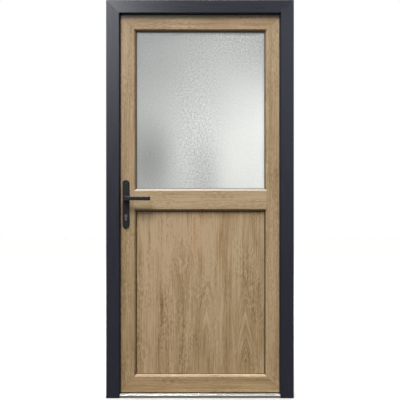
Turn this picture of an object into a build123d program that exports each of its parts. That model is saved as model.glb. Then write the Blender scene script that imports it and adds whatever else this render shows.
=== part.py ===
# A plastic side entrance door: an outer frame on a low threshold, and a leaf that opens
# into the room, glazed above its middle rail and panelled below it.
# Millimetres. Seen from outside, +X is to the right, +Y goes into the room and +Z is up.
# The origin is under the threshold, at mid width and mid depth of the frame.
from build123d import *
import os

# Frame size
frame_width = 980
frame_height = 2080
frame_depth = 70

# Frame profile, measured from the frame's outer edge towards the doorway
frame_body_width = 50
frame_face_width = 66
frame_bevel_width = 4
frame_bevel_depth = 6
frame_lip_thickness = 20
profile_radius = 1.5

# Seals: how thick they stand and the slack they keep from the piece they close on
frame_gasket_thickness = 5
frame_gasket_reach = 4
frame_gasket_root = 10
leaf_gasket_thickness = 5
leaf_gasket_width = 4
leaf_gasket_inset = 0.5
seal_slack = 0.3
lip_radius = 1.8

# Threshold
threshold_height = 19
threshold_front_height = 17
threshold_slope_depth = 23
tread_thickness = 3
tread_overhang = 2
groove_count = 3
groove_width = 2
groove_pitch = 6
groove_depth = 1
groove_inset = 8

# Leaf size and place
hardware_gap = 8.5
leaf_top_gap = 16
leaf_shift = 3
leaf_bottom_gap = 6
bottom_seal_carrier = 2.5
bottom_seal_fin = 2.4
bottom_seal_pitch = 6
bottom_seal_fins = 3

# Leaf profile, measured from the leaf's outer edge towards the glass
leaf_face_width = 82
leaf_bevel_width = 11
leaf_bevel_depth = 12
leaf_edge_radius = 2.5
glazing_lip_thickness = 15
glazing_rebate = 20
leaf_overlap = 22
leaf_overlap_thickness = 20
mid_rail_face_height = 96
mid_rail_centre = 1035

# Glass, panel and what holds them
infill_thickness = 24
pane_thickness = 4
glazing_gasket_thickness = 3
glazing_gasket_reach = 2.5
glazing_gasket_root = 6
infill_clearance = 5
spacer_width = 12
spacer_inset = 3
bead_lip_depth = 8
bead_slope_width = 5

# Lock in the leaf's free edge
faceplate_width = 16
faceplate_thickness = 3
faceplate_inset = 140
faceplate_slack = 0.2
bolt_thickness = 12
latch_height = 30
dead_bolt_height = 44
bolt_end_gap = 2
latch_stand = 2
latch_drop = 18
hook_height = 34
hook_depth = 14
hook_recess = 1

# Strike plates in the lock jamb
strike_thickness = 3
strike_width = 24
main_strike_length = 250
hook_strike_length = 160
hook_strike_inset = 320
strike_opening_slack = 3
strike_pocket_depth = 22

# Handle, plates and cylinder
backset = 40
handle_height = 1043
cylinder_spacing = 92
plate_width = 36
plate_length = 252
plate_thickness = 10
plate_chamfer = 3
plate_drop = 28.5
journal_radius = 9
journal_clearance = 0.05
hub_radius = 14
hub_edge = 2
collar_radius = 15.5
collar_thickness = 3
lever_projection = 55
lever_length = 129
bar_height = 20
bar_thickness = 11
bar_edge = 2
tip_return = 9
lever_gap = 0.3
spindle_width = 8
spindle_grip = 16
spindle_hole_radius = 9
cylinder_radius = 8.5
cylinder_height = 33
cylinder_body_width = 10
cylinder_stand = 1.5
cylinder_clearance = 0.3
plug_radius = 6.6
plug_stand = 0.5
key_slot_width = 2.4
key_slot_height = 9
key_slot_depth = 24

# Hinges on the room side
barrel_radius = 10
barrel_gap = 3
barrel_length = 110
knuckle_gap = 1
pin_radius = 5
pin_clearance = 0.1
pin_cap = 4
hinge_plate_thickness = 3
hinge_stand = 5
frame_flap_reach = 18
leaf_flap_reach = 34
flap_radius = 4
barrel_edge = 1.5
hinge_inset = 240

# Fixing holes through the jambs
fixing_radius = 5
fixing_inset = 170
fixing_count = 4

# Levels and planes worked out from the sizes above
half_width = frame_width / 2
frame_front = -frame_depth / 2
frame_back = frame_depth / 2
lip_back = frame_front + frame_lip_thickness
leaf_front = lip_back + frame_gasket_thickness + seal_slack
overlap_front = frame_back + leaf_gasket_thickness + seal_slack
leaf_back = overlap_front + leaf_overlap_thickness
leaf_bottom = threshold_height + leaf_bottom_gap
leaf_top = frame_height - frame_body_width - leaf_top_gap
leaf_half_width = half_width - frame_body_width - hardware_gap
leaf_left = leaf_shift - leaf_half_width
leaf_right = leaf_shift + leaf_half_width
glazing_lip = leaf_face_width + leaf_bevel_width
rebate_floor = glazing_lip - glazing_rebate
glazing_lip_back = leaf_front + glazing_lip_thickness
infill_front = glazing_lip_back + glazing_gasket_thickness
infill_back = infill_front + infill_thickness
bead_front = infill_back + glazing_gasket_thickness
mid_rail_half_face = mid_rail_face_height / 2
mid_rail_half_lip = mid_rail_half_face + leaf_bevel_width
mid_rail_half_core = mid_rail_half_lip - glazing_rebate
handle_x = leaf_left + backset
plate_centre = handle_height - plate_drop
bolt_depth = backset - spindle_hole_radius - bolt_end_gap
edge_centre_y = (leaf_front + overlap_front) / 2
hinge_x = leaf_right + leaf_overlap + barrel_gap + barrel_radius
hinge_y = frame_back + hinge_plate_thickness + hinge_stand + barrel_radius

# Fields: left, right, bottom and top of the rectangles that the profiles run around
frame_field = (-half_width, half_width, 0, frame_height)
leaf_field = (leaf_left, leaf_right, leaf_bottom, leaf_top)
glass_field = (
    leaf_left + rebate_floor,
    leaf_right - rebate_floor,
    mid_rail_centre + mid_rail_half_core,
    leaf_top - rebate_floor,
)
panel_field = (
    leaf_left + rebate_floor,
    leaf_right - rebate_floor,
    leaf_bottom + rebate_floor,
    mid_rail_centre - mid_rail_half_core,
)


def outline(points):
    """A closed face from corners given as (across, deep, corner radius)."""
    corners = [(across, deep) for across, deep, radius in points]
    radii = [radius for across, deep, radius in points]
    return make_face(FilletPolyline(*corners, radius=radii, close=True))


def slab(x0, x1, y0, y1, z0, z1):
    """A block between two corners."""
    return Pos((x0 + x1) / 2, (y0 + y1) / 2, (z0 + z1) / 2) * Box(x1 - x0, y1 - y0, z1 - z0)


def lengthways(points, half_length):
    """A straight profile along X, centred, from corners given as (deep, high, corner radius)."""
    face = Plane((-half_length, 0, 0), x_dir=(0, 1, 0), z_dir=(1, 0, 0)) * outline(points)
    return extrude(face, amount=2 * half_length, dir=(1, 0, 0))


def upright(points, y0, y1):
    """An upright sheet: its outline in X and Z, between two depths."""
    face = Plane((0, y1, 0), x_dir=(1, 0, 0), z_dir=(0, -1, 0)) * make_face(Polyline(*points, close=True))
    return extrude(face, amount=y1 - y0, dir=(0, -1, 0))


def shrink(field, by, bottom=None):
    """The same field with its sides moved in."""
    left, right, low, top = field
    return (left + by, right - by, low + (by if bottom is None else bottom), top - by)


def field_slab(field, y0, y1):
    """A plate that fills a field."""
    left, right, low, top = field
    return slab(left, right, y0, y1, low, top)


def band(field, outer, inner, y0, y1):
    """A flat band around a field, between two distances in from its edge."""
    return field_slab(shrink(field, outer), y0, y1) - field_slab(shrink(field, inner), y0 - 1, y1 + 1)


def profile_ring(field, points, open_bottom=False):
    """Straight profiles around a field, mitred where they meet. The section runs inwards from the edge."""
    left, right, low, top = field
    out = -min(across for across, deep, radius in points)
    reach = max(across for across, deep, radius in points) + 1
    face = outline(points)
    starts = {
        "left": ((left, 0, low), (1, 0, 0), (0, 0, 1), top + out - low),
        "right": ((right, 0, top + out), (-1, 0, 0), (0, 0, -1), top + out - low),
        "top": ((left - out, 0, top), (0, 0, -1), (1, 0, 0), right - left + 2 * out),
        "bottom": ((right, 0, low), (0, 0, 1), (-1, 0, 0), right - left),
    }
    leg = [(left - out, low)]
    if out and not open_bottom:
        leg.append((left, low))
    leg.append((left + reach, low if open_bottom else low + reach))
    leg += [(left + reach, top - reach), (left - out, top + out)]
    wedges = {
        "left": leg,
        "right": [(left + right - x, z) for x, z in leg],
        "top": [
            (left - out, top + out),
            (right + out, top + out),
            (right - reach, top - reach),
            (left + reach, top - reach),
        ],
        "bottom": [
            (left, low),
            (right, low),
            (right - reach, low + reach),
            (left + reach, low + reach),
        ],
    }
    y0 = min(deep for across, deep, radius in points) - 1
    y1 = max(deep for across, deep, radius in points) + 1
    ring = {}
    for side in ["left", "right", "top"] + ([] if open_bottom else ["bottom"]):
        origin, inward, along, length = starts[side]
        bar = extrude(Plane(origin, x_dir=inward, z_dir=along) * face, amount=length, dir=along)
        ring[side] = bar & upright(wedges[side], y0, y1)
    return ring


def joined(ring):
    """The sides of a ring made one piece."""
    sides = list(ring.values())
    whole = sides[0]
    for side in sides[1:]:
        whole += side
    return whole


def lip_seal(field, root, nose, y0, y1, open_bottom=False):
    """A rubber seal with a round lip, as one ring: from its root to its nose, between two depths."""
    points = [(root, y0, 0), (nose, y0, 0), (nose, y1, lip_radius), (root, y1, 0)]
    return joined(profile_ring(field, points, open_bottom))


def rod(x, z, radius, y0, y1):
    """A round bar along Y."""
    return Pos(x, (y0 + y1) / 2, z) * Rot(90, 0, 0) * Cylinder(radius, y1 - y0)


def post(x, y, radius, z0, z1):
    """A round bar along Z."""
    return Pos(x, y, (z0 + z1) / 2) * Cylinder(radius, z1 - z0)


def fixing_heights():
    """Heights of the fixing holes, evenly spaced up the jamb."""
    pitch = (frame_height - 2 * fixing_inset) / (fixing_count - 1)
    return [fixing_inset + number * pitch for number in range(fixing_count)]


def frame_members():
    """Jambs and head, mitred at the top and square at the floor."""
    lip_edge = frame_face_width + frame_bevel_width
    points = [
        (0, frame_front, profile_radius),
        (frame_face_width, frame_front, 0),
        (lip_edge, frame_front + frame_bevel_depth, profile_radius),
        (lip_edge, lip_back, 0),
        (frame_body_width, lip_back, 0),
        (frame_body_width, frame_back, profile_radius),
        (0, frame_back, 0),
    ]
    ring = profile_ring(frame_field, points, open_bottom=True)
    for side in (-1, 1):
        for height in fixing_heights():
            x0 = side * (half_width - frame_body_width)
            x1 = side * half_width
            hole = Pos((x0 + x1) / 2, edge_centre_y, height) * Rot(0, 90, 0)
            ring["left" if side < 0 else "right"] -= hole * Cylinder(fixing_radius, frame_body_width + 2)
    for z0, z1 in strike_openings():
        ring["left"] -= slab(
            -half_width + frame_body_width - strike_pocket_depth,
            -half_width + frame_body_width + 1,
            edge_centre_y - bolt_thickness / 2 - strike_opening_slack,
            edge_centre_y + bolt_thickness / 2 + strike_opening_slack,
            z0,
            z1,
        )
    return ring


def hook_centres():
    """Middle heights of the lower and the upper hook."""
    return [leaf_bottom + hook_strike_inset, leaf_top - hook_strike_inset]


def lock_bolt_spans():
    """Bottom and top of the latch and of the dead bolt."""
    latch = handle_height - latch_drop
    dead = handle_height - cylinder_spacing
    return [
        (latch - latch_height / 2, latch + latch_height / 2),
        (dead - dead_bolt_height / 2, dead + dead_bolt_height / 2),
    ]


def hook_spans():
    """Bottom and top of the two hooks."""
    return [(centre - hook_height / 2, centre + hook_height / 2) for centre in hook_centres()]


def strike_openings():
    """Bottom and top of every opening in the strike plates."""
    spans = lock_bolt_spans() + hook_spans()
    return [(z0 - strike_opening_slack, z1 + strike_opening_slack) for z0, z1 in spans]


def strike_plates():
    """Steel plates on the lock jamb, open where the latch, the dead bolt and the hooks go in."""
    floor = -half_width + frame_body_width
    places = [(handle_height - cylinder_spacing / 2, main_strike_length)]
    places += [(centre, hook_strike_length) for centre in hook_centres()]
    plates = []
    for centre, length in places:
        plate = slab(
            floor,
            floor + strike_thickness,
            edge_centre_y - strike_width / 2,
            edge_centre_y + strike_width / 2,
            centre - length / 2,
            centre + length / 2,
        )
        plate = fillet(plate.edges().filter_by(Axis.X), strike_width / 4)
        for z0, z1 in strike_openings():
            plate -= slab(
                floor - 1,
                floor + strike_thickness + 1,
                edge_centre_y - bolt_thickness / 2 - strike_opening_slack,
                edge_centre_y + bolt_thickness / 2 + strike_opening_slack,
                z0,
                z1,
            )
        plates.append(plate.solid())
    return Compound(plates)


def threshold():
    """Aluminium tread, sloping outwards to a grooved edge, over a plastic base, cut around the jambs."""
    body_x = half_width - frame_body_width
    lip_x = half_width - frame_face_width - frame_bevel_width
    slope_end = frame_front + threshold_slope_depth
    steepness = (threshold_height - threshold_front_height) / threshold_slope_depth
    nose = tread_thickness / 3
    under = threshold_height - tread_thickness
    front_under = threshold_front_height - tread_thickness
    base_front = frame_front + tread_overhang
    tread = lengthways(
        [
            (frame_front, front_under, nose),
            (frame_front, threshold_front_height, nose),
            (slope_end, threshold_height, 0),
            (frame_back, threshold_height, 0),
            (frame_back, under, 0),
            (slope_end, under, 0),
        ],
        body_x,
    )
    for number in range(groove_count):
        y0 = frame_front + groove_inset + number * groove_pitch
        groove_foot = threshold_front_height + (y0 - frame_front) * steepness - groove_depth
        tread -= slab(-body_x - 1, body_x + 1, y0, y0 + groove_width, groove_foot, threshold_height + 1)
    base = lengthways(
        [
            (base_front, 0, 0),
            (base_front, front_under + tread_overhang * steepness, 0),
            (slope_end, under, 0),
            (frame_back, under, 0),
            (frame_back, 0, 0),
        ],
        body_x,
    )
    for side in (-1, 1):
        x0, x1 = sorted((side * lip_x, side * (body_x + 1)))
        lip = slab(x0, x1, frame_front - 1, lip_back, -1, threshold_height + 1)
        tread -= lip
        base -= lip
    return tread, base


def leaf_members():
    """Stiles and rails of the leaf, mitred, with the middle rail let in between the stiles."""
    groove = faceplate_width / 2 + faceplate_slack
    groove_floor = faceplate_thickness + faceplate_slack
    face_side = [
        (0, leaf_front, profile_radius),
        (leaf_face_width, leaf_front, leaf_edge_radius),
        (glazing_lip, leaf_front + leaf_bevel_depth, profile_radius),
        (glazing_lip, glazing_lip_back, 0),
        (rebate_floor, glazing_lip_back, 0),
        (rebate_floor, leaf_back, 0),
    ]
    room_side = [
        (-leaf_overlap, leaf_back, profile_radius),
        (-leaf_overlap, overlap_front, profile_radius),
        (0, overlap_front, 0),
    ]
    edge_groove = [
        (0, edge_centre_y + groove, 0),
        (groove_floor, edge_centre_y + groove, 0),
        (groove_floor, edge_centre_y - groove, 0),
        (0, edge_centre_y - groove, 0),
    ]
    ring = profile_ring(leaf_field, face_side + room_side + edge_groove)
    ring["bottom"] = profile_ring(leaf_field, face_side + [(0, leaf_back, 0)])["bottom"]
    ring["middle"] = middle_rail() - ring["left"] - ring["right"]
    return ring


def middle_rail():
    """The middle rail's own profile, with a glazing lip above and below."""
    half = [
        (mid_rail_half_face, leaf_front, leaf_edge_radius),
        (mid_rail_half_lip, leaf_front + leaf_bevel_depth, profile_radius),
        (mid_rail_half_lip, glazing_lip_back, 0),
        (mid_rail_half_core, glazing_lip_back, 0),
        (mid_rail_half_core, leaf_back, 0),
    ]
    points = half + [(-across, deep, radius) for across, deep, radius in reversed(half)]
    x0 = leaf_left + rebate_floor
    length = leaf_right - leaf_left - 2 * rebate_floor
    face = Plane((x0, 0, mid_rail_centre), x_dir=(0, 0, -1), z_dir=(1, 0, 0)) * outline(points)
    return extrude(face, amount=length, dir=(1, 0, 0))


def glazing_beads(field):
    """Four clip-in beads on the room side, mitred, with a sloping face."""
    points = [
        (0, bead_front, 0),
        (glazing_rebate, bead_front, profile_radius),
        (glazing_rebate, bead_front + bead_lip_depth, profile_radius),
        (glazing_rebate - bead_slope_width, leaf_back, profile_radius),
        (0, leaf_back, 0),
    ]
    return profile_ring(field, points)


def infill_gaskets(field):
    """Black seals on both faces of the infill, each just proud of the profile's edge."""
    root = glazing_rebate - glazing_gasket_root
    nose = glazing_rebate + glazing_gasket_reach
    outer = lip_seal(field, root, nose, infill_front, glazing_lip_back)
    inner = lip_seal(field, root, nose, infill_back, bead_front)
    return Compound([outer.solid(), inner.solid()])


def glass_unit():
    """Two panes and the spacer between their edges."""
    edge = shrink(glass_field, infill_clearance)
    outer = field_slab(edge, infill_front, infill_front + pane_thickness)
    inner = field_slab(edge, infill_back - pane_thickness, infill_back)
    y0 = infill_front + pane_thickness
    y1 = infill_back - pane_thickness
    spacer = band(edge, spacer_inset, spacer_inset + spacer_width, y0, y1)
    return outer, inner, spacer


def euro_profile(x, z, grow, y0, y1):
    """The lock cylinder's section: a round barrel over a narrow body with a round foot."""
    foot = z + cylinder_radius - cylinder_height + cylinder_body_width / 2
    half = cylinder_body_width / 2 + grow
    barrel = rod(x, z, cylinder_radius + grow, y0, y1)
    web = slab(x - half, x + half, y0, y1, foot, z)
    return barrel + web + rod(x, foot, half, y0, y1)


def lock_cylinder():
    """Cylinder through the leaf and both plates, with a plug and a key slot at each end."""
    z = handle_height - cylinder_spacing
    y0 = leaf_front - plate_thickness - cylinder_stand
    y1 = leaf_back + plate_thickness + cylinder_stand
    body = euro_profile(handle_x, z, 0, y0, y1)
    body += rod(handle_x, z, plug_radius, y0 - plug_stand, y1 + plug_stand)
    for near, far in ((y0 - 1, y0 + key_slot_depth), (y1 - key_slot_depth, y1 + 1)):
        body -= slab(
            handle_x - key_slot_width / 2,
            handle_x + key_slot_width / 2,
            near,
            far,
            z - key_slot_height / 2,
            z + key_slot_height / 2,
        )
    return body


def stile_cut():
    """What is drilled and milled through the lock stile for the spindle and the cylinder."""
    cut = rod(handle_x, handle_height, spindle_hole_radius, leaf_front - 1, leaf_back + 1)
    z = handle_height - cylinder_spacing
    cut += euro_profile(handle_x, z, cylinder_clearance, leaf_front - 1, leaf_back + 1)
    for z0, z1 in lock_bolt_spans() + hook_spans():
        cut += slab(
            leaf_left - 1,
            leaf_left + bolt_depth + faceplate_slack,
            edge_centre_y - bolt_thickness / 2 - faceplate_slack,
            edge_centre_y + bolt_thickness / 2 + faceplate_slack,
            z0 - faceplate_slack,
            z1 + faceplate_slack,
        )
    return cut


def handle_plate():
    """Long plate with round ends, drawn for the outside."""
    y0 = leaf_front - plate_thickness
    face = Plane((handle_x, leaf_front, plate_centre), x_dir=(1, 0, 0), z_dir=(0, -1, 0)) * (
        Rot(0, 0, 90) * SlotOverall(plate_length, plate_width)
    )
    plate = extrude(face, amount=plate_thickness, dir=(0, -1, 0))
    rim = plate.faces().sort_by(Axis.Y)[0].outer_wire().edges()
    plate = chamfer(rim, plate_chamfer)
    bore = journal_radius + journal_clearance
    plate -= rod(handle_x, handle_height, bore, y0 - 1, leaf_front + 1)
    z = handle_height - cylinder_spacing
    plate -= euro_profile(handle_x, z, cylinder_clearance, y0 - 1, leaf_front + 1)
    return plate


def lever():
    """Lever with its hub, collar and journal, drawn for the outside."""
    plate_front = leaf_front - plate_thickness
    hub_foot = plate_front - lever_gap
    tip_y = leaf_front - lever_projection
    tip_x = handle_x + lever_length
    bar_back = tip_y + bar_thickness
    shape = outline(
        [
            (handle_x, tip_y, 0),
            (tip_x, tip_y, tip_return),
            (tip_x, bar_back + tip_return, 0),
            (tip_x - bar_thickness, bar_back + tip_return, 0),
            (tip_x - bar_thickness, bar_back, 0),
            (handle_x, bar_back, 0),
        ]
    )
    bar = extrude(Pos(0, 0, handle_height - bar_height / 2) * shape, amount=bar_height, dir=(0, 0, 1))
    rims = bar.faces().filter_by(Axis.Z)
    bar = chamfer(rims[0].edges() + rims[1].edges(), bar_edge)
    hub = rod(handle_x, handle_height, hub_radius, tip_y, hub_foot)
    hub = chamfer(hub.edges().filter_by(GeomType.CIRCLE).sort_by(Axis.Y)[0], hub_edge)
    collar = rod(handle_x, handle_height, collar_radius, hub_foot - collar_thickness, hub_foot)
    body = hub + bar + collar
    body += rod(handle_x, handle_height, journal_radius, hub_foot, plate_front + plate_thickness - 1)
    socket = spindle_width / 2
    body -= slab(
        handle_x - socket,
        handle_x + socket,
        plate_front - spindle_grip,
        plate_front + plate_thickness,
        handle_height - socket,
        handle_height + socket,
    )
    return body


def to_room_side(piece):
    """The same piece on the other face of the leaf."""
    middle = (leaf_front + leaf_back) / 2
    return mirror(piece, Plane((0, middle, 0), x_dir=(1, 0, 0), z_dir=(0, 1, 0)))


def spindle():
    """Square bar that joins the two levers."""
    half = spindle_width / 2
    y0 = leaf_front - plate_thickness - spindle_grip
    y1 = leaf_back + plate_thickness + spindle_grip
    return slab(handle_x - half, handle_x + half, y0, y1, handle_height - half, handle_height + half)


def lock_faceplate():
    """Long steel strip let into the leaf's free edge, open for the bolts."""
    plate = slab(
        leaf_left,
        leaf_left + faceplate_thickness,
        edge_centre_y - faceplate_width / 2,
        edge_centre_y + faceplate_width / 2,
        leaf_bottom + faceplate_inset,
        leaf_top - faceplate_inset,
    )
    plate = fillet(plate.edges().filter_by(Axis.X), faceplate_width / 2 - 1)
    for z0, z1 in lock_bolt_spans() + hook_spans():
        plate -= slab(
            leaf_left - 1,
            leaf_left + faceplate_thickness + 1,
            edge_centre_y - bolt_thickness / 2 - faceplate_slack,
            edge_centre_y + bolt_thickness / 2 + faceplate_slack,
            z0 - faceplate_slack,
            z1 + faceplate_slack,
        )
    return plate


def lock_bolts():
    """Latch with its sloping nose and square dead bolt, both drawn back."""
    (latch_low, latch_top), (dead_low, dead_top) = lock_bolt_spans()
    y0 = edge_centre_y - bolt_thickness / 2
    y1 = edge_centre_y + bolt_thickness / 2
    latch = slab(leaf_left - latch_stand, leaf_left + bolt_depth, y0, y1, latch_low, latch_top)
    nose = latch.edges().filter_by(Axis.Z).sort_by(lambda e: e.center().X * 10 - e.center().Y)[0]
    latch = chamfer(nose, latch_stand * 0.9)
    dead = slab(leaf_left, leaf_left + bolt_depth, y0, y1, dead_low, dead_top)
    return latch, dead


def hook_bolts():
    """The two hooks of the lock, turned in behind the faceplate's face, each with its hollow throat."""
    y0 = edge_centre_y - bolt_thickness / 2
    y1 = edge_centre_y + bolt_thickness / 2
    x0 = leaf_left + hook_recess
    hooks = []
    for z0, z1 in hook_spans():
        points = [
            (x0 + hook_depth, z0, 0),
            (x0 + hook_depth, z1, 0),
            (x0, z1, hook_depth / 2),
            (x0, z0 + hook_height / 3, 0),
            (x0 + hook_depth / 2, z0 + hook_height / 2, 0),
            (x0 + hook_depth / 2, z0, 0),
        ]
        face = Plane((0, y1, 0), x_dir=(1, 0, 0), z_dir=(0, -1, 0)) * outline(points)
        hooks.append(extrude(face, amount=y1 - y0, dir=(0, -1, 0)).solid())
    return Compound(hooks)


def bottom_seal():
    """Black seal under the leaf: a carrier with fins that end just above the tread."""
    half = bottom_seal_pitch * (bottom_seal_fins - 1) / 2 + bottom_seal_fin
    fin_foot = threshold_height + seal_slack
    carrier_foot = leaf_bottom - bottom_seal_carrier
    seal = slab(leaf_left, leaf_right, edge_centre_y - half, edge_centre_y + half, carrier_foot, leaf_bottom)
    for number in range(bottom_seal_fins):
        y = edge_centre_y + (number - (bottom_seal_fins - 1) / 2) * bottom_seal_pitch
        seal += slab(leaf_left, leaf_right, y - bottom_seal_fin / 2, y + bottom_seal_fin / 2, fin_foot,
                     carrier_foot)
    return seal


def hinge_heights():
    """Middle height of each hinge: near the top, near the bottom and half way."""
    low = leaf_bottom + hinge_inset
    high = leaf_top - hinge_inset
    return [low, (low + high) / 2, high]


def knuckle(z0, z1, free_end):
    """Half of a hinge barrel, with its free end bevelled."""
    barrel = post(hinge_x, hinge_y, barrel_radius, z0, z1)
    rim = barrel.edges().filter_by(GeomType.CIRCLE).sort_by(Axis.Z)[free_end]
    return chamfer(rim, barrel_edge)


def hinge(centre):
    """Frame half with the lower knuckle, leaf half with the upper one, and the pin in both."""
    low = centre - barrel_length / 2
    top = centre + barrel_length / 2
    frame_top = centre - knuckle_gap / 2
    leaf_low = centre + knuckle_gap / 2
    web = barrel_radius / 2
    flap = slab(hinge_x - web, hinge_x + frame_flap_reach, frame_back, frame_back + hinge_plate_thickness,
                low, frame_top)
    flap = fillet(flap.edges().filter_by(Axis.Y).group_by(Axis.X)[-1], flap_radius)
    frame_half = knuckle(low, frame_top, 0) + flap
    frame_half += slab(hinge_x - web, hinge_x + web, frame_back, hinge_y, low + barrel_edge, frame_top)
    frame_half -= post(hinge_x, hinge_y, pin_radius, low + pin_cap, top)
    leaf_edge = leaf_right + leaf_overlap
    flap_back = leaf_back + hinge_plate_thickness
    flap = slab(leaf_edge - leaf_flap_reach, hinge_x, leaf_back, flap_back, leaf_low, top - barrel_edge)
    flap = fillet(flap.edges().filter_by(Axis.Y).group_by(Axis.X)[0], flap_radius)
    leaf_half = knuckle(leaf_low, top, -1) + flap
    leaf_half += slab(leaf_edge + barrel_gap, hinge_x, hinge_y, flap_back, leaf_low, top - barrel_edge)
    leaf_half -= post(hinge_x, hinge_y, pin_radius + pin_clearance, low, top - pin_cap)
    pin = post(hinge_x, hinge_y, pin_radius, low + pin_cap, top - pin_cap - knuckle_gap)
    return frame_half, leaf_half, pin


def build():
    """Every piece of the door by its name."""
    pieces = {}
    frame = frame_members()
    pieces["frame_left_jamb"] = frame["left"]
    pieces["frame_right_jamb"] = frame["right"]
    pieces["frame_head"] = frame["top"]
    pieces["threshold_tread"], pieces["threshold_base"] = threshold()
    lip_edge = frame_face_width + frame_bevel_width
    doorway = (-half_width, half_width, threshold_height, frame_height)
    pieces["frame_gasket"] = lip_seal(
        doorway,
        lip_edge - frame_gasket_root,
        lip_edge + frame_gasket_reach,
        lip_back,
        lip_back + frame_gasket_thickness,
        open_bottom=True,
    )
    pieces["strike_plates"] = strike_plates()

    leaf = leaf_members()
    pieces["leaf_lock_stile"] = leaf["left"] - stile_cut()
    pieces["leaf_hinge_stile"] = leaf["right"]
    pieces["leaf_top_rail"] = leaf["top"]
    pieces["leaf_bottom_rail"] = leaf["bottom"]
    pieces["leaf_mid_rail"] = leaf["middle"]
    overlap_field = shrink(leaf_field, -leaf_overlap, 0)
    pieces["leaf_gasket"] = lip_seal(
        overlap_field,
        leaf_gasket_inset,
        leaf_gasket_inset + leaf_gasket_width,
        overlap_front,
        overlap_front - leaf_gasket_thickness,
        open_bottom=True,
    )
    pieces["leaf_bottom_seal"] = bottom_seal()
    pieces["glass_outer_pane"], pieces["glass_inner_pane"], pieces["glazing_spacer"] = glass_unit()
    pieces["glass_gasket"] = infill_gaskets(glass_field)
    pieces["panel_gasket"] = infill_gaskets(panel_field)
    pieces["lower_panel"] = field_slab(shrink(panel_field, infill_clearance), infill_front, infill_back)
    for side, bead in glazing_beads(glass_field).items():
        pieces["glass_bead_" + side] = bead
    for side, bead in glazing_beads(panel_field).items():
        pieces["panel_bead_" + side] = bead

    pieces["lock_faceplate"] = lock_faceplate()
    pieces["latch_bolt"], pieces["dead_bolt"] = lock_bolts()
    pieces["hook_bolts"] = hook_bolts()
    pieces["lock_cylinder"] = lock_cylinder()
    pieces["outside_plate"] = handle_plate()
    pieces["inside_plate"] = to_room_side(handle_plate())
    pieces["outside_lever"] = lever()
    pieces["inside_lever"] = to_room_side(lever())
    pieces["handle_spindle"] = spindle()

    hinges = [hinge(centre) for centre in hinge_heights()]
    for number, name in enumerate(("hinge_frame_halves", "hinge_leaf_halves", "hinge_pins")):
        pieces[name] = Compound([halves[number].solid() for halves in hinges])
    return pieces


os.makedirs("parts", exist_ok=True)
for name, piece in build().items():
    export_step(piece, "parts/" + name + ".step")
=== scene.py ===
"""The looks of the side entrance door, in metres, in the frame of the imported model.

Seen from outside, +X is to the right, +Y goes into the room and +Z is up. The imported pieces
keep their shapes and get their finishes here. Screws are the pieces that this script adds.
"""
import math

import bmesh
import bpy
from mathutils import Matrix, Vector

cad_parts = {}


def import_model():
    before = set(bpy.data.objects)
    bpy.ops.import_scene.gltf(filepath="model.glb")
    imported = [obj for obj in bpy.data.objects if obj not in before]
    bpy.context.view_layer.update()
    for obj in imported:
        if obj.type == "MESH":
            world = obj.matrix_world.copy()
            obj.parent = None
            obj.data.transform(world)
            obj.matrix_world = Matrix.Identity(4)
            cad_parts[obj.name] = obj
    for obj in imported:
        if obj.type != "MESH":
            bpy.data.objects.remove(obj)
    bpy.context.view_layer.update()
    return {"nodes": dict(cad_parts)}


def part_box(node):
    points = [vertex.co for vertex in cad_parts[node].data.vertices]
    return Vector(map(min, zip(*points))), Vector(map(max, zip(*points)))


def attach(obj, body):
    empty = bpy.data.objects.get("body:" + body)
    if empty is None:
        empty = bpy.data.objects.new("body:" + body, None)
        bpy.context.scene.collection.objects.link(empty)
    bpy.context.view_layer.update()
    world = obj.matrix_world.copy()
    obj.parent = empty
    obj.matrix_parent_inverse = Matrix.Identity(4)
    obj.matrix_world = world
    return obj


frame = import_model()

# Places read from the frame
frame_low, frame_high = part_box("frame_left_jamb")
frame_left, frame_front = frame_low.x, frame_low.y
frame_top = frame_high.z
leaf_low, leaf_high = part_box("leaf_bottom_rail")
leaf_bottom = leaf_low.z
leaf_middle = (leaf_low.x + leaf_high.x) / 2
leaf_half_width = (leaf_high.x - leaf_low.x) / 2
leaf_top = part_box("lock_faceplate")[1].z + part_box("lock_faceplate")[0].z - leaf_bottom
plate_low, plate_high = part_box("outside_plate")
inside_low, inside_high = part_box("inside_plate")
handle_x = (plate_low.x + plate_high.x) / 2
glass_low, glass_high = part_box("glass_outer_pane")

# Openings of the glass and the panel, which the seals' roots reach past
seal_root = 0.006
seal_low, seal_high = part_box("panel_gasket")
opening_left, opening_right = seal_low.x + seal_root, seal_high.x - seal_root
panel_top = seal_high.z - seal_root
glass_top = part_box("glass_gasket")[1].z - seal_root
glass_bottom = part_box("glass_gasket")[0].z + seal_root

# Camera: how far it stands from the frame's face, how much height it takes in there, and how far below the
# frame's top edge the picture starts
camera_distance = 3.6
picture_height = 2.087
camera_drop = 0.0016
sensor_width = 36

# Dome: how its strength steps up with the height of the direction, as (from, to, strength before, after),
# its colour, and how much more it gives from the left than from the right
dome_level = 0.72
dome_steps = [(-0.06, 0.02, 0.02, 0.22), (0.48, 0.70, 0.0, 2.6), (0.75, 0.90, 0.0, 0.9)]
dome_colour = (1.0, 0.99, 0.975)
dome_lean = 0.2

# Floor: how much it throws back as light, how white it looks, and its half size
floor_bounce = 0.04
floor_look = 0.63
floor_half = 15.0

# Gloss of foils and rubber, and of paint: low, because everything round the door is white
dull_gloss = 0.15
coat_gloss = 0.08

# Oak: its colours from dark to light, and what it is multiplied by where it is pinker and where it is warmer
oak_colours = [
    (0.10, (0.190, 0.118, 0.0455)),
    (0.34, (0.300, 0.202, 0.0950)),
    (0.54, (0.402, 0.280, 0.1440)),
    (0.84, (0.535, 0.402, 0.2400)),
]
pinker_tint = (1.03, 0.985, 1.01)
warmer_tint = (1.02, 0.93, 0.80)

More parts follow.
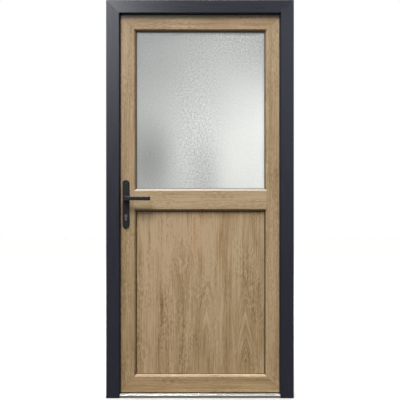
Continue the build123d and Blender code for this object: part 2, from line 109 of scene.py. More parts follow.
# Oak: the layers of its grain, as repeats per metre across and along the grain, and detail
grain_sizes = {
    "clouds": (6.0, 3.0, 2.0),
    "bands": (13.0, 0.45, 1.0),
    "streaks": (46.0, 1.3, 2.0),
    "fibres": (150.0, 5.0, 2.0),
    "flecks": (220.0, 45.0, 3.0),
    "marks": (190.0, 9.0, 1.0),
    "pores": (1000.0, 45.0, 1.0),
    "busy": (11.0, 4.0, 1.0),
    "hue": (7.0, 0.7, 1.0),
}

# Oak: how strongly each layer shows, and the shape of the nested points
grain_weights = {
    "clouds": 0.30,
    "bands": 0.55,
    "streaks": 0.50,
    "fibres": 0.75,
    "flecks": 0.80,
    "marks": 0.16,
    "pores": 0.11,
}
peak_steepness = 0.25
peak_rounding = 0.005

# Oak: strips along the openings, as (how far out whole, where it ends, strength, colour), and how far they
# also reach in over the edge. The foot of a bevel gets painted shade against the seal, and the ledge under
# the glass gets a pale painted sheen.
painted_shade_foot = (0.002, 0.007, 0.7, (0.06, 0.042, 0.020))
painted_sheen_ledge = (0.009, 0.012, 0.65, (0.345, 0.330, 0.300))
strip_run_on = 0.004

# Mitred joints: their colours and widths. The frame has none at its foot, so its lower ones would lie far
# below the floor.
oak_joint = (0.10, 0.062, 0.03)
oak_joint_width = 0.0012
foil_joint = (0.006, 0.006, 0.008)
foil_joint_width = 0.0010
below_floor = -1.0

# Foil on the frame: its colours, and how rough it is on the jambs and on the head
foil_colours = [(0.2, (0.0080, 0.0083, 0.0155)), (0.8, (0.0155, 0.0160, 0.0270))]
jamb_roughness = 0.42
head_roughness = 0.31

# Glass: the soft ovals in it, placed and sized in shares of the pane from its top left corner, as (across,
# down, half width, half height). The first list paints light or shade into it, for a dim room behind, the
# second makes it more speckled.
glass_painted_shapes = [
    ((0.97, 0.12, 0.40, 0.36), -0.13),
    ((0.13, 0.80, 0.24, 0.36), -0.19),
    ((0.74, 0.84, 0.18, 0.36), 0.05),
    ((0.54, 0.95, 0.16, 0.42), -0.13),
]
glass_speckles = [
    ((0.47, 0.66, 0.26, 0.75), 2.2),
    ((0.85, 0.0, 0.60, 0.40), 1.2),
]

# Screws: a head's outline in shares of its radius and height, its cross recess in shares of its radius, and
# the hinges, strike plates and faceplate that they sit in
screw_segments = 32
plate_screw_radius = 0.0042
plate_screw_inset = 0.019
small_screw_radius = 0.0034
screw_height = 0.0009
screw_recess = 0.0006
screw_outline = ((1.0, 0.0), (1.0, 0.35), (0.90, 0.80), (0.74, 1.0))
cross_half_width = 0.16
cross_reach = 0.62
cross_taper = 0.7
hinge_half_length = 0.055
hinge_flap_thickness = 0.003
leaf_flap_inset = 0.012
frame_flap_inset = 0.004
hook_strike_length = 0.160
main_strike_length = 0.250
main_strike_middle = 0.997
strike_screw_inset = 0.012
hinge_screw_rises = (("near", 0.014), ("far", 0.042))
faceplate_screws = (0.008, 0.30, 0.56, 0.78, 0.992)


class Nodes:
    """A node tree, with short calls for its nodes."""

    def __init__(self, tree):
        self.tree = tree

    def node(self, kind, **settings):
        made = self.tree.nodes.new(kind)
        for key, value in settings.items():
            setattr(made, key, value)
        return made

    def feed(self, socket, value):
        """Links an output to a socket, or sets the socket to a value."""
        if isinstance(value, bpy.types.NodeSocket):
            self.tree.links.new(value, socket)
        else:
            socket.default_value = value

    def maths(self, operation, *values):
        made = self.node("ShaderNodeMath", operation=operation)
        for socket, value in zip(made.inputs, values):
            self.feed(socket, value)
        return made.outputs[0]

    def total(self, *values):
        sum_so_far = values[0]
        for value in values[1:]:
            sum_so_far = self.maths("ADD", sum_so_far, value)
        return sum_so_far

    def split(self, vector):
        """The three coordinates of a vector."""
        parts = self.node("ShaderNodeSeparateXYZ")
        self.feed(parts.inputs[0], vector)
        return parts.outputs

    def between(self, value, low, high, start=0.0, end=1.0, curve="SMOOTHSTEP"):
        """Maps a stretch of values onto another and holds beyond its ends."""
        made = self.node("ShaderNodeMapRange", interpolation_type=curve)
        for socket, number in zip(made.inputs, (value, low, high, start, end)):
            self.feed(socket, number)
        return made.outputs[0]

    def shown_rays(self):
        """1 for the rays that show the surroundings as they look: straight, mirrored and through glass."""
        rays = self.node("ShaderNodeLightPath").outputs
        mirrored = self.maths("MAXIMUM", rays["Is Camera Ray"], rays["Is Glossy Ray"])
        return self.maths("MAXIMUM", mirrored, rays["Is Transmission Ray"])


class Finish(Nodes):
    """A material's nodes, with short calls for what the finishes share."""

    def __init__(self, name, **inputs):
        self.material = bpy.data.materials.new(name)
        self.material.use_nodes = True
        super().__init__(self.material.node_tree)
        self.shader = self.tree.nodes["Principled BSDF"]
        for label, value in inputs.items():
            self.shader.inputs[label.replace("_", " ")].default_value = value
        self.place = self.node("ShaderNodeTexCoord").outputs["Object"]

    def axes(self):
        return self.split(self.place)

    def vector(self, x, y, z):
        made = self.node("ShaderNodeCombineXYZ")
        for socket, value in zip(made.inputs, (x, y, z)):
            self.feed(socket, value)
        return made.outputs[0]

    def noise(self, vector, scale, detail=2.0, roughness=0.5):
        made = self.node("ShaderNodeTexNoise")
        self.feed(made.inputs["Vector"], vector)
        self.feed(made.inputs["Scale"], scale)
        self.feed(made.inputs["Detail"], detail)
        self.feed(made.inputs["Roughness"], roughness)
        return made.outputs["Fac"]

    def stretched(self, across, deep, run, detail=2.0, roughness=0.5):
        """Noise that varies at its own rate along each of three coordinates."""
        return self.noise(self.vector(across, deep, run), 1.0, detail, roughness)

    def drawn_out(self, axis, along, across, detail=3.0):
        """Noise drawn out along an axis, with its repeats per metre along and across it."""
        rates = [along if name == axis else across for name in "XYZ"]
        parts = [self.maths("MULTIPLY", part, rate) for part, rate in zip(self.axes(), rates)]
        return self.stretched(*parts, detail)

    def swing(self, value, amount):
        """A noise's departure from its middle, times an amount."""
        return self.maths("MULTIPLY", self.maths("SUBTRACT", value, 0.5), amount)

    def blend(self, factor, first, second):
        """A value between two others."""
        return self.maths("MULTIPLY_ADD", self.maths("SUBTRACT", second, first), factor, first)

    def oval(self, across, run, centre, middle, half_width, half_height):
        """A soft oval: 1 at its middle, 0 at its edge and beyond."""
        side = self.maths("DIVIDE", self.maths("SUBTRACT", across, centre), half_width)
        rise = self.maths("DIVIDE", self.maths("SUBTRACT", run, middle), half_height)
        square = self.maths("MULTIPLY_ADD", rise, rise, self.maths("MULTIPLY", side, side))
        return self.between(self.maths("SQRT", square), 0.0, 1.0, 1.0, 0.0)

    def ramp(self, value, *stops):
        """Colours at given positions, each stop a position and a colour."""
        made = self.node("ShaderNodeValToRGB")
        elements = made.color_ramp.elements
        while len(elements) < len(stops):
            elements.new(0.5)
        for element, (position, colour) in zip(elements, stops):
            element.position = position
            element.color = (*colour, 1)
        self.feed(made.inputs[0], value)
        return made.outputs[0]

    def mix(self, factor, first, second, blend_type="MIX"):
        made = self.node("ShaderNodeMix", data_type="RGBA", blend_type=blend_type)
        self.feed(made.inputs[0], factor)
        for socket, colour in zip(made.inputs[6:8], (first, second)):
            self.feed(socket, colour if isinstance(colour, bpy.types.NodeSocket) else (*colour, 1))
        return made.outputs[2]

    def bump(self, height, depth, strength=1.0):
        """Relief of a depth in metres, added to what the shader already has."""
        made = self.node("ShaderNodeBump")
        self.feed(made.inputs["Height"], height)
        self.feed(made.inputs["Distance"], depth)
        self.feed(made.inputs["Strength"], strength)
        before = self.shader.inputs["Normal"]
        if before.is_linked:
            self.feed(made.inputs["Normal"], before.links[0].from_socket)
        self.feed(before, made.outputs[0])

    def soft_edges(self, radius):
        """Rounds sharp edges in the shading."""
        made = self.node("ShaderNodeBevel", samples=4)
        made.inputs["Radius"].default_value = radius
        self.feed(self.shader.inputs["Normal"], made.outputs[0])

    def colour(self, value):
        self.feed(self.shader.inputs["Base Color"], value)

    def roughness(self, value):
        self.feed(self.shader.inputs["Roughness"], value)


def mitre(finish, middle, half_width, low, high, width):
    """1 along the lines where mitred members meet at the corners of a rectangle, 0 elsewhere."""
    x, _, z = finish.axes()
    from_middle = finish.maths("ABSOLUTE", finish.maths("SUBTRACT", x, middle))
    from_side = finish.maths("SUBTRACT", half_width, from_middle)
    from_low, from_high = finish.maths("SUBTRACT", z, low), finish.maths("SUBTRACT", high, z)
    from_end = finish.maths("MINIMUM", from_low, from_high)
    apart = finish.maths("ABSOLUTE", finish.maths("SUBTRACT", from_side, from_end))
    return finish.between(apart, width / 2, width, 1.0, 0.0)


def oak(name, along, shift, tone=0.54, contrast=1.0, figures=(), streaks=(), corners=None, strips=()):
    """Light oak foil with its grain along an axis.

    Lengths are metres, shift picks a place in the pattern, and tone is the wood's middle lightness.
    Each figure is a stretch where the grain's lines run another way: a function, its strength and sizes.
    Each streak is a drawn-out spot: where it is, its half sizes, and how much lighter and warmer it is.
    Each strip of painted shade or painted sheen runs along an opening: an axis, the opening's edge on it,
    the way out, and the strip's values.
    """
    finish = Finish(name, Specular_IOR_Level=dull_gloss)
    finish.soft_edges(0.0010)
    x, y, z = finish.axes()
    across, run = (x, z) if along == "Z" else (z, x)

    def wander(rate_across, rate_along, amount):
        """A slow sideways wander of the grain."""
        value = finish.stretched(
            finish.maths("MULTIPLY_ADD", across, rate_across, shift),
            finish.maths("MULTIPLY", y, 3.0),
            finish.maths("MULTIPLY", run, rate_along),
            1.0,
        )
        return finish.swing(value, amount)

    def layer(lines, kind):
        """Noise drawn out along the grain's lines."""
        rate_across, rate_along, detail = grain_sizes[kind]
        return finish.stretched(
            finish.maths("MULTIPLY", lines, rate_across),
            finish.maths("MULTIPLY", y, 100.0),
            finish.maths("MULTIPLY", run, rate_along),
            detail,
            0.6,
        )

    def grain(lines):
        """Lightness of the fibres and streaks, and where their pits are, along some lines."""
        marks = finish.between(layer(lines, "marks"), 0.54, 0.74)
        pores = finish.between(layer(lines, "pores"), 0.58, 0.72)
        flecks = finish.swing(layer(lines, "flecks"), grain_weights["flecks"])
        light = finish.total(
            finish.swing(layer(lines, "streaks"), grain_weights["streaks"]),
            finish.swing(layer(lines, "fibres"), grain_weights["fibres"]),
            finish.maths("MULTIPLY", flecks, busy),
            finish.maths("MULTIPLY", marks, -grain_weights["marks"]),
            finish.maths("MULTIPLY", pores, -grain_weights["pores"]),
        )
        return light, finish.maths("ADD", pores, marks)

    plain = finish.total(across, wander(3.0, 0.9, 0.04), wander(14.0, 4.0, 0.008), shift)
    busy = finish.between(layer(plain, "busy"), 0.40, 0.62, 0.40, 1.7)
    light, pits = grain(plain)
    board = finish.maths("SUBTRACT", plain, shift)
    for figure, strength, *sizes in figures:
        lines, window = figure(finish, board, run, *sizes)
        other_light, other_pits = grain(finish.maths("ADD", lines, shift))
        light = finish.blend(window, light, finish.maths("MULTIPLY", other_light, strength))
        pits = finish.blend(window, pits, other_pits)
    clouds = finish.swing(layer(plain, "clouds"), grain_weights["clouds"])
    bands = finish.swing(layer(plain, "bands"), grain_weights["bands"])
    light = finish.maths("MULTIPLY", light, contrast)
    warmth = 0.0
    for centre, height, half_width, half_height, lighter, warmer in streaks:
        spot = finish.oval(board, run, centre, height, half_width, half_height)
        light = finish.maths("MULTIPLY_ADD", spot, lighter, light)
        warmth = finish.maths("MULTIPLY_ADD", spot, warmer, warmth)
    wood = finish.ramp(finish.total(tone, clouds, bands, light), *oak_colours)
    hue = finish.between(layer(plain, "hue"), 0.35, 0.65)
    wood = finish.mix(hue, wood, finish.mix(1.0, wood, pinker_tint, "MULTIPLY"))
    if streaks:
        wood = finish.mix(warmth, wood, finish.mix(1.0, wood, warmer_tint, "MULTIPLY"))
    finish.bump(pits, 0.00012, -0.5)
    # Strips of painted shade or pale painted sheen, mixed into the wood's colour along the openings
    for axis, edge, way, whole, end, strength, colour in strips:
        beyond = finish.maths("MULTIPLY", finish.maths("SUBTRACT", {"X": x, "Z": z}[axis], edge), way)
        fading = finish.between(beyond, whole, end, strength, 0.0)
        starting = finish.maths("GREATER_THAN", beyond, -strip_run_on)
        wood = finish.mix(finish.maths("MULTIPLY", fading, starting), wood, colour)
    if corners:
        joint = mitre(finish, *corners, oak_joint_width)
        wood = finish.mix(finish.maths("MULTIPLY", joint, 0.5), wood, oak_joint)
        finish.bump(joint, 0.0004, -0.6)
    finish.colour(wood)
    finish.roughness(finish.between(light, -0.15, 0.15, 0.48, 0.58))
    return finish.material


def peaks(finish, across, run, centre, low, high, half_width):
    """Nested points, one above another, as where a board is sawn across the cones of its rings."""
    side = finish.maths("SUBTRACT", across, centre)
    spread = finish.maths("SQRT", finish.maths("MULTIPLY_ADD", side, side, peak_rounding ** 2))
    lines = finish.maths("MULTIPLY_ADD", run, peak_steepness, spread)
    middle, half_height = (low + high) / 2, (high - low) / 2
    rise = finish.maths("ABSOLUTE", finish.maths("SUBTRACT", run, middle))
    window = finish.maths(
        "MULTIPLY",
        finish.between(finish.maths("ABSOLUTE", side), 0.3 * half_width, half_width, 1.0, 0.0),
        finish.between(rise, 0.4 * half_height, half_height, 1.0, 0.0),
    )
    return lines, window


def eye(finish, across, run, centre, height, half_width, half_height):
    """Lines that bulge to both sides and close again, as over a small knot under the surface."""
    twist = finish.swing(finish.noise(finish.place, 13.0, 1.0), 0.06)
    side = finish.total(across, twist, -centre)
    window = finish.oval(side, run, 0.0, height, half_width, half_height)
    pull = finish.maths("MULTIPLY", side, finish.maths("MULTIPLY", window, 0.92))
    lines = finish.maths("SUBTRACT", across, pull)
    return lines, finish.between(window, 0.0, 0.2)


def foil_grey(name, along, roughness):
    """Anthracite foil with a fine pressed grain along the member."""
    finish = Finish(name, Specular_IOR_Level=dull_gloss)
    finish.soft_edges(0.0006)
    streaks = finish.drawn_out(along, 5.0, 260.0)
    cloud = finish.noise(finish.place, 3.0)
    grain = finish.noise(finish.place, 1400.0, 2.0)
    tone = finish.total(0.5, finish.swing(streaks, 1.0), finish.swing(cloud, 0.5))
    colour = finish.ramp(tone, *foil_colours)
    joint = mitre(finish, 0.0, -frame_left, below_floor, frame_top, foil_joint_width)
    finish.colour(finish.mix(finish.maths("MULTIPLY", joint, 0.6), colour, foil_joint))
    finish.roughness(finish.between(streaks, 0.3, 0.7, roughness - 0.04, roughness + 0.04))
    finish.bump(grain, 0.00008, 0.35)
    finish.bump(joint, 0.0004, -0.5)
    return finish.material


def powder_coat(name, colour, roughness):
    """Fine textured powder coat."""
    finish = Finish(name, Specular_IOR_Level=coat_gloss)
    finish.soft_edges(0.0006)
    peel = finish.noise(finish.place, 900.0, 2.0)
    cloud = finish.noise(finish.place, 40.0, 3.0)
    low = tuple(0.82 * part for part in colour)
    high = tuple(1.18 * part for part in colour)
    finish.colour(finish.ramp(cloud, (0.3, low), (0.7, high)))
    finish.roughness(finish.between(peel, 0.3, 0.7, roughness - 0.04, roughness + 0.05))
    finish.bump(peel, 0.0001, 0.4)
    return finish.material


def rubber(name, clean, dusty):
    """Seal rubber with a trace of dust."""
    finish = Finish(name, Specular_IOR_Level=dull_gloss)
    dust = finish.noise(finish.place, 120.0, 4.0, 0.6)
    finish.colour(finish.ramp(dust, (0.4, clean), (0.75, dusty)))
    finish.roughness(finish.between(dust, 0.3, 0.7, 0.62, 0.78))
    finish.bump(finish.noise(finish.place, 1500.0), 0.00006, 0.4)
    return finish.material


def obscured_glass():
    """Patterned glass: small uneven lenses pressed into its face, and the blurred shapes of a dim room
    behind it painted into its colour as light and shade, with a painted light band along its top.
    """
    finish = Finish("obscured_glass", IOR=1.5, Transmission_Weight=0.7, Specular_IOR_Level=dull_gloss)
    x, _, z = finish.axes()
    rightward = finish.between(x, glass_low.x, glass_high.x, curve="LINEAR")
    downward = finish.between(z, glass_high.z, glass_low.z, curve="LINEAR")

    def shapes(table):
        """The soft ovals of a table, each at its strength."""
        return [
            finish.maths("MULTIPLY", finish.oval(rightward, downward, *place), strength)
            for place, strength in table
        ]

    cells = finish.node("ShaderNodeTexVoronoi", feature="SMOOTH_F1")
    finish.feed(cells.inputs["Vector"], finish.place)
    cells.inputs["Scale"].default_value = 150.0
    cells.inputs["Smoothness"].default_value = 0.6
    speckle = finish.noise(finish.place, 120.0, 2.5, 0.65)
    patches = finish.total(0.6, *shapes(glass_speckles))
    lower = finish.between(downward, 0.0, 0.7)
    tone = finish.total(
        -0.012,
        # Painted light along the top, over the shadow that the top rail casts on the pane
        finish.between(downward, 0.0, 0.06, 0.16, 0.0),
        # Painted light: lighter to the right and lower down, as from a dim room behind
        finish.maths("MULTIPLY", rightward, 0.25),
        finish.maths("MULTIPLY", lower, finish.maths("MULTIPLY_ADD", rightward, 0.15, 0.235)),
        *shapes(glass_painted_shapes),
        finish.swing(finish.noise(finish.place, 4.0, 2.0, 0.5), 0.06),
        finish.maths("MULTIPLY", finish.swing(speckle, 0.60), patches),
    )
    finish.colour(finish.ramp(tone, (0.0, (0.228, 0.229, 0.221)), (0.73, (0.935, 0.940, 0.908))))
    finish.roughness(finish.between(speckle, 0.3, 0.7, 0.4, 0.55))
    finish.bump(cells.outputs["Distance"], 0.0012, 0.5)
    finish.bump(speckle, 0.0006, 0.4)
    return finish.material


def clear_glass():
    """Clear float glass with the faintest dust."""
    finish = Finish("clear_glass", IOR=1.5, Transmission_Weight=1.0, Specular_IOR_Level=0.5)
    dust = finish.noise(finish.place, 60.0, 4.0, 0.6)
    finish.colour(finish.ramp(dust, (0.3, (0.93, 0.955, 0.945)), (0.8, (0.90, 0.925, 0.915))))
    finish.roughness(finish.between(dust, 0.4, 0.8, 0.01, 0.05))
    return finish.material


def brushed(name, colour, roughness, along):
    """Bare metal brushed along one axis."""
    finish = Finish(name, Metallic=1.0)
    finish.soft_edges(0.0005)
    scratch = finish.drawn_out(along, 6.0, 900.0)
    low = tuple(0.86 * part for part in colour)
    finish.colour(finish.ramp(scratch, (0.3, low), (0.7, colour)))
    finish.roughness(finish.between(scratch, 0.3, 0.7, roughness - 0.07, roughness + 0.08))
    finish.bump(scratch, 0.00005, 0.5)
    return finish.material


def moulded_plastic():
    """Grey threshold plastic."""
    finish = Finish("threshold_plastic", Specular_IOR_Level=dull_gloss)
    finish.soft_edges(0.0006)
    grain = finish.noise(finish.place, 700.0, 3.0)
    finish.colour(finish.ramp(grain, (0.3, (0.225, 0.212, 0.188)), (0.7, (0.265, 0.250, 0.225))))
    finish.roughness(finish.between(grain, 0.3, 0.7, 0.5, 0.62))
    finish.bump(grain, 0.0001, 0.4)
    return finish.material


def dress(material, *nodes):
    """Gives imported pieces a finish."""
    for name in nodes:
        mesh = frame["nodes"][name].data
        mesh.materials.clear()
        mesh.materials.append(material)


def dress_frame(black):
    """Foil, seal and threshold of the frame."""
    dress(foil_grey("jamb_foil", "Z", jamb_roughness), "frame_left_jamb", "frame_right_jamb")
    dress(foil_grey("head_foil", "X", head_roughness), "frame_head")
    dress(black, "frame_gasket")
    dress(brushed("tread_metal", (0.58, 0.575, 0.555), 0.34, "X"), "threshold_tread")
    dress(moulded_plastic(), "threshold_base")


def dress_profiles():
    """Oak on the leaf's members and glazing beads."""
    leaf_corners = (leaf_middle, leaf_half_width, leaf_bottom, leaf_top)
    # Each member's strip is painted shade at the foot of its bevel, against the seal
    members = (
        ("leaf_lock_stile", "Z", 0.0, 0.50, [("X", opening_left, -1, *painted_shade_foot)]),
        ("leaf_hinge_stile", "Z", 1.3, 0.66, [("X", opening_right, 1, *painted_shade_foot)]),
        ("leaf_top_rail", "X", 0.4, 0.56, [("Z", glass_top, 1, *painted_shade_foot)]),
        ("leaf_bottom_rail", "X", 2.1, 0.51, []),
    )
    for node, along, shift, tone, strips in members:
        dress(oak(node + "_oak", along, shift, tone, corners=leaf_corners, strips=strips), node)
    # The mid rail gets painted shade at the foot of its lower bevel and a pale painted sheen on the ledge
    # under the glass
    strips = [("Z", panel_top, 1, *painted_shade_foot), ("Z", glass_bottom, -1, *painted_sheen_ledge)]
    dress(oak("mid_rail_oak", "X", 3.3, 0.70, strips=strips), "leaf_mid_rail")
    for field, shift in (("glass", 4.7), ("panel", 5.9)):
        for side, along in (("left", "Z"), ("right", "Z"), ("top", "X"), ("bottom", "X")):
            dress(oak(field + "_bead_" + side + "_oak", along, shift), field + "_bead_" + side)


def dress_panel():
    """Oak on the panel, with two stretches of nested points, a bulge over a small knot, streaks, painted
    light over its upper part, and a painted shadow under the mid rail.
    """
    figures = [
        (peaks, 1.35, 0.240, 0.10, 0.62, 0.062),
        (peaks, 1.2, 0.030, 0.30, 0.66, 0.045),
        (eye, 1.25, -0.100, 0.74, 0.070, 0.16),
    ]
    streaks = [
        # Painted light: the whole panel lighter over its upper part
        (0.0, 0.90, 0.60, 0.42, 0.17, 0.1),
        (-0.034, 0.82, 0.016, 0.24, -0.17, 0.9),
        (0.100, 0.80, 0.030, 0.18, -0.14, 0.7),
        (0.020, 0.76, 0.026, 0.30, 0.15, 0.0),
        (-0.110, 0.90, 0.050, 0.12, 0.10, 0.0),
        (0.190, 0.80, 0.045, 0.20, 0.09, 0.0),
        (-0.180, 0.62, 0.036, 0.28, 0.09, 0.0),
        (-0.210, 0.42, 0.005, 0.16, -0.24, 0.4),
        (0.305, 0.25, 0.005, 0.10, -0.26, 0.4),
        (0.305, 0.806, 0.012, 0.030, -0.20, 0.4),
        # Painted shadow under the mid rail, across the top of the panel
        (0.0, 0.985, 0.80, 0.065, -0.30, 0.0),
    ]
    board = oak("panel_oak", "Z", 7.3, 0.61, contrast=1.22, figures=figures, streaks=streaks)
    dress(board, "lower_panel")


def dress_glazing(black):
    """Panes, spacer and the leaf's seals."""
    dress(obscured_glass(), "glass_outer_pane")
    dress(clear_glass(), "glass_inner_pane")
    dress(brushed("spacer_metal", (0.55, 0.55, 0.55), 0.42, "Z"), "glazing_spacer")
    dress(rubber("taupe_rubber", (0.130, 0.115, 0.090), (0.170, 0.152, 0.122)), "glass_gasket")
    dress(rubber("brown_rubber", (0.020, 0.014, 0.008), (0.034, 0.026, 0.016)), "panel_gasket")
    dress(black, "leaf_gasket", "leaf_bottom_seal")


def dress_fittings():
    """Lock, hinges, cylinder and handle."""
    lock_steel = brushed("lock_steel", (0.62, 0.62, 0.60), 0.34, "Z")
    dress(lock_steel, "strike_plates", "lock_faceplate", "latch_bolt", "dead_bolt", "hook_bolts")
    dress(brushed("spindle_steel", (0.55, 0.55, 0.54), 0.4, "Y"), "handle_spindle")
    dress(brushed("pin_steel", (0.58, 0.58, 0.57), 0.28, "Z"), "hinge_pins")
    dress(brushed("cylinder_nickel", (0.085, 0.080, 0.076), 0.30, "Y"), "lock_cylinder")
    hinge_coat = powder_coat("hinge_coat", (0.022, 0.021, 0.024), 0.48)
    dress(hinge_coat, "hinge_frame_halves", "hinge_leaf_halves")
    handle_coat = powder_coat("handle_coat", (0.0190, 0.0175, 0.0210), 0.42)
    dress(handle_coat, "outside_plate", "inside_plate", "outside_lever", "inside_lever")


def dress_all():
    """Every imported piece's finish, by what it is made of."""
    black = rubber("black_rubber", (0.010, 0.010, 0.0105), (0.024, 0.023, 0.022))
    dress_frame(black)
    dress_profiles()
    dress_panel()
    dress_glazing(black)
    dress_fittings()


def cross_radius(angle, half_width, reach):
    """How far the outline of a cross-shaped recess lies from its centre, at an angle."""
    run, rise = abs(math.cos(angle)) + 1e-9, abs(math.sin(angle)) + 1e-9
    return max(min(reach / run, half_width / rise), min(half_width / run, reach / rise))


def screw(name, centre, normal, radius, body, material):
    """A raised screw head with a cross recess, on a face at centre, facing along normal."""
    half_width, reach = cross_half_width * radius, cross_reach * radius
    mesh = bpy.data.meshes.new(name)
    shape = bmesh.new()
    rim = [(radius * across, screw_height * up) for across, up in screw_outline]
    rings = []
    angles = [2 * math.pi * number / screw_segments for number in range(screw_segments)]
    for ring_radius, height in rim:
        rings.append([(ring_radius * math.cos(a), ring_radius * math.sin(a), height) for a in angles])
    for height, share in ((screw_height, 1.0), (screw_height - screw_recess, cross_taper)):
        radii = [share * cross_radius(a, half_width, reach) for a in angles]
        rings.append([(r * math.cos(a), r * math.sin(a), height) for r, a in zip(radii, angles)])
    turn = Vector((0, 0, 1)).rotation_difference(Vector(normal)).to_matrix()
    middle = Vector(centre)
    corners = [[shape.verts.new(middle + turn @ Vector(point)) for point in ring] for ring in rings]
    for lower, upper in zip(corners, corners[1:]):
        for number in range(screw_segments):
            after = (number + 1) % screw_segments
            shape.faces.new((lower[number], lower[after], upper[after], upper[number]))
    shape.faces.new(corners[-1])
    shape.faces.new(list(reversed(corners[0])))
    bmesh.ops.recalc_face_normals(shape, faces=shape.faces)
    shape.to_mesh(mesh)
    shape.free()
    piece = bpy.data.objects.new(name, mesh)
    bpy.context.scene.collection.objects.link(piece)
    mesh.materials.append(material)
    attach(piece, body)


def plate_screws(black):
    """Two screws in each handle plate."""
    heights = (("low", plate_low.z + plate_screw_inset), ("high", plate_high.z - plate_screw_inset))
    for side, y, facing in (("outside", plate_low.y, -1), ("inside", inside_high.y, 1)):
        for place, z in heights:
            screw(f"{side}_plate_screw_{place}", (handle_x, y, z), (0, facing, 0), plate_screw_radius,
                  "leaf", black)


def hinge_screws(black):
    """Two screws in each hinge's flap on the leaf and two in its flap on the frame."""
    fixed_low, fixed_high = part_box("hinge_frame_halves")
    moving_low, moving_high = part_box("hinge_leaf_halves")
    lowest, highest = fixed_low.z + hinge_half_length, moving_high.z - hinge_half_length
    on_leaf = (moving_low.x + leaf_flap_inset, inside_low.y + hinge_flap_thickness)
    on_frame = (fixed_high.x - frame_flap_inset, frame_high.y + hinge_flap_thickness)
    for number, middle in enumerate((lowest, (lowest + highest) / 2, highest)):
        for place, rise in hinge_screw_rises:
            screw(f"hinge_{number}_leaf_screw_{place}", (*on_leaf, middle + rise), (0, 1, 0),
                  small_screw_radius, "leaf", black)
            screw(f"hinge_{number}_frame_screw_{place}", (*on_frame, middle - rise), (0, 1, 0),
                  small_screw_radius, "frame", black)


def edge_screws(steel):
    """Screws at the ends of the strike plates and along the lock's faceplate."""
    strike_low, strike_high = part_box("strike_plates")
    face_low, face_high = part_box("lock_faceplate")
    middle_y = (face_low.y + face_high.y) / 2
    strikes = (
        (strike_low.z, strike_low.z + hook_strike_length),
        (main_strike_middle - main_strike_length / 2, main_strike_middle + main_strike_length / 2),
        (strike_high.z - hook_strike_length, strike_high.z),
    )
    for number, (low, high) in enumerate(strikes):
        for place, z in (("low", low + strike_screw_inset), ("high", high - strike_screw_inset)):
            screw(f"strike_{number}_screw_{place}", (strike_high.x, middle_y, z), (1, 0, 0),
                  small_screw_radius, "frame", steel)
    for number, share in enumerate(faceplate_screws):
        z = face_low.z + share * (face_high.z - face_low.z)
        screw(f"faceplate_screw_{number}", (face_low.x, middle_y, z), (-1, 0, 0),
              small_screw_radius, "leaf", steel)


def screws():
    """Every screw, black in the painted fittings and bright in the steel ones."""
    black = powder_coat("screw_coat", (0.030, 0.028, 0.031), 0.36)
    plate_screws(black)
    hinge_screws(black)
    edge_screws(brushed("screw_steel", (0.60, 0.60, 0.58), 0.3, "Y"))


def world():
    """A soft dome, dim along the horizon and brightest overhead. Seen or mirrored it looks white."""
    made = bpy.data.worlds.new("studio")
    bpy.context.scene.world = made
    made.use_nodes = True
    nodes = Nodes(made.node_tree)
    x, _, z = nodes.split(nodes.node("ShaderNodeTexCoord").outputs["Generated"])
    steps = [
        nodes.between(z, low, high, dome_level * before, dome_level * after)
        for low, high, before, after in dome_steps
    ]
    lean = nodes.maths("MULTIPLY_ADD", x, -dome_lean, 1.0)
    dome = nodes.tree.nodes["Background"]
    dome.inputs["Color"].default_value = (*dome_colour, 1)
    nodes.feed(dome.inputs["Strength"], nodes.maths("MULTIPLY", nodes.total(*steps), lean))
    white = nodes.node("ShaderNodeBackground")
    white.inputs["Color"].default_value = (1, 1, 1, 1)
    mixed = nodes.node("ShaderNodeMixShader")
    for socket, value in zip(mixed.inputs, (nodes.shown_rays(), dome.outputs[0], white.outputs[0])):
        nodes.feed(socket, value)
    nodes.feed(nodes.tree.nodes["World Output"].inputs["Surface"], mixed.outputs[0])


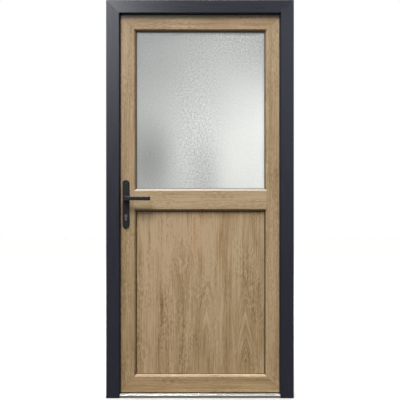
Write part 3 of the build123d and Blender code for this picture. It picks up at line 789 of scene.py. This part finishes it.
def soft_box(name, place, target, size, power, colour=(1, 1, 1), gloss_only=False):
    """A studio light aimed at a point, out of the camera's sight."""
    light = bpy.data.lights.new(name, "AREA")
    light.shape = "RECTANGLE"
    light.size, light.size_y = size
    light.energy = power
    light.color = colour
    box = bpy.data.objects.new(name, light)
    box.location = place
    box.rotation_euler = (Vector(target) - Vector(place)).to_track_quat("-Z", "Y").to_euler()
    box.visible_camera = False
    box.visible_diffuse = not gloss_only
    box.visible_transmission = not gloss_only
    bpy.context.scene.collection.objects.link(box)


def floor():
    """A pale floor that shows white and keeps the shadow, but throws little light back up."""
    mesh = bpy.data.meshes.new("floor")
    corners = [(floor_half * x, floor_half * y, 0) for x, y in ((-1, -1), (1, -1), (1, 1), (-1, 1))]
    mesh.from_pydata(corners, [], [(0, 1, 2, 3)])
    piece = bpy.data.objects.new("floor", mesh)
    bpy.context.scene.collection.objects.link(piece)
    finish = Finish("floor_paint", Roughness=0.9, Specular_IOR_Level=0.0)
    finish.colour(finish.mix(finish.shown_rays(), [floor_bounce] * 3, [floor_look] * 3))
    mesh.materials.append(finish.material)


def camera():
    """Stands level in front of the door, at the photograph's height and distance."""
    data = bpy.data.cameras.new("camera")
    data.sensor_width = sensor_width
    data.lens = sensor_width * camera_distance / picture_height
    viewer = bpy.data.objects.new("camera", data)
    viewer.location = (0, frame_front - camera_distance, frame_top - picture_height / 2 - camera_drop)
    viewer.rotation_euler = (math.pi / 2, 0, 0)
    bpy.context.scene.collection.objects.link(viewer)
    bpy.context.scene.camera = viewer


def studio():
    """World, floor, lights and camera."""
    bpy.context.scene.view_settings.view_transform = "Standard"
    world()
    floor()
    soft_box("key_light", (-1.6, -4.5, 6.8), (0, 0, 1.0), (2.8, 2.2), 360)
    soft_box("back_light", (1.4, 4.4, 4.4), (0, 0, 1.0), (2.6, 2.0), 150)
    soft_box("left_sheen", (-1.55, -3.6, 3.2), (-0.4, 0, 1.9), (0.8, 1.0), 245, (0.93, 0.97, 1.0),
             gloss_only=True)
    soft_box("right_sheen", (1.35, -3.6, 2.3), (0.4, 0, 1.6), (0.7, 1.4), 34, (0.72, 0.80, 1.0),
             gloss_only=True)
    soft_box("top_sheen", (-0.2, -0.6, 4.2), (0, 0, 1.0), (1.6, 0.8), 450, gloss_only=True)
    camera()


dress_all()
screws()
studio()
